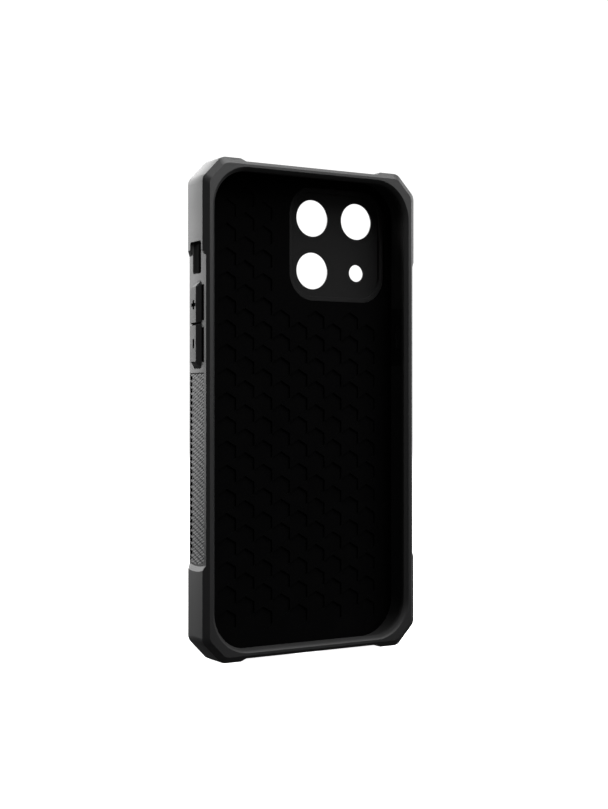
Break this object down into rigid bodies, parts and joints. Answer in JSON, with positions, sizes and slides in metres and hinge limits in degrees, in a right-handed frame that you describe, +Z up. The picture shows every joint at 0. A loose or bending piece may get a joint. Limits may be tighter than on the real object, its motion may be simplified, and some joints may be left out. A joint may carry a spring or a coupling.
{
  "type": "phone case",
  "caption": "Rugged two-material phone case with raised corner bumpers, ribbed side grips, sprung side buttons and a camera guard.",
  "frame": {"origin": "centre of the case's box at its base, between the lower bumpers", "axes": "+Z up along the case's length, +X to the right seen from the screen side, the screen side faces -Y"},
  "size_m": [0.0854, 0.0142, 0.1664],
  "materials": {
    "soft_frame": "satin black TPU, fine moulded texture",
    "hard_panel": "matt black polycarbonate",
    "cushion": "soft matt black",
    "guard": "satin black",
    "grip": "matt black with fine cross-hatch",
    "button": "satin black",
    "foam": "closed-cell foam",
    "retainer": "matt film"
  },
  "bodies": {
    "case": {"bumper_frame": "soft_frame", "back_panel": "hard_panel", "inner_cushion": "cushion", "camera_guard": "guard", "grip_left": "grip", "grip_right": "grip", "volume_up_return_pad": "foam", "volume_down_return_pad": "foam", "power_return_pad": "foam", "button_retainer_left": "retainer", "button_retainer_right": "retainer"},
    "volume_up_cap": {"volume_up_button": "button"},
    "volume_down_cap": {"volume_down_button": "button"},
    "power_cap": {"power_button": "button"}
  },
  "joints": [
    {"name": "volume_up_press", "type": "slide", "parent": "case", "child": "volume_up_cap", "axis": [1, 0, 0], "range_m": [0, 0.0004], "stiffness_N_per_m": 2000, "springref_m": -0.0001, "deforming": ["volume_up_return_pad"]},
    {"name": "volume_down_press", "type": "slide", "parent": "case", "child": "volume_down_cap", "axis": [1, 0, 0], "range_m": [0, 0.0004], "stiffness_N_per_m": 2000, "springref_m": -0.0001, "deforming": ["volume_down_return_pad"]},
    {"name": "power_press", "type": "slide", "parent": "case", "child": "power_cap", "axis": [-1, 0, 0], "range_m": [0, 0.0004], "stiffness_N_per_m": 2000, "springref_m": -0.0001, "deforming": ["power_return_pad"]}
  ]
}
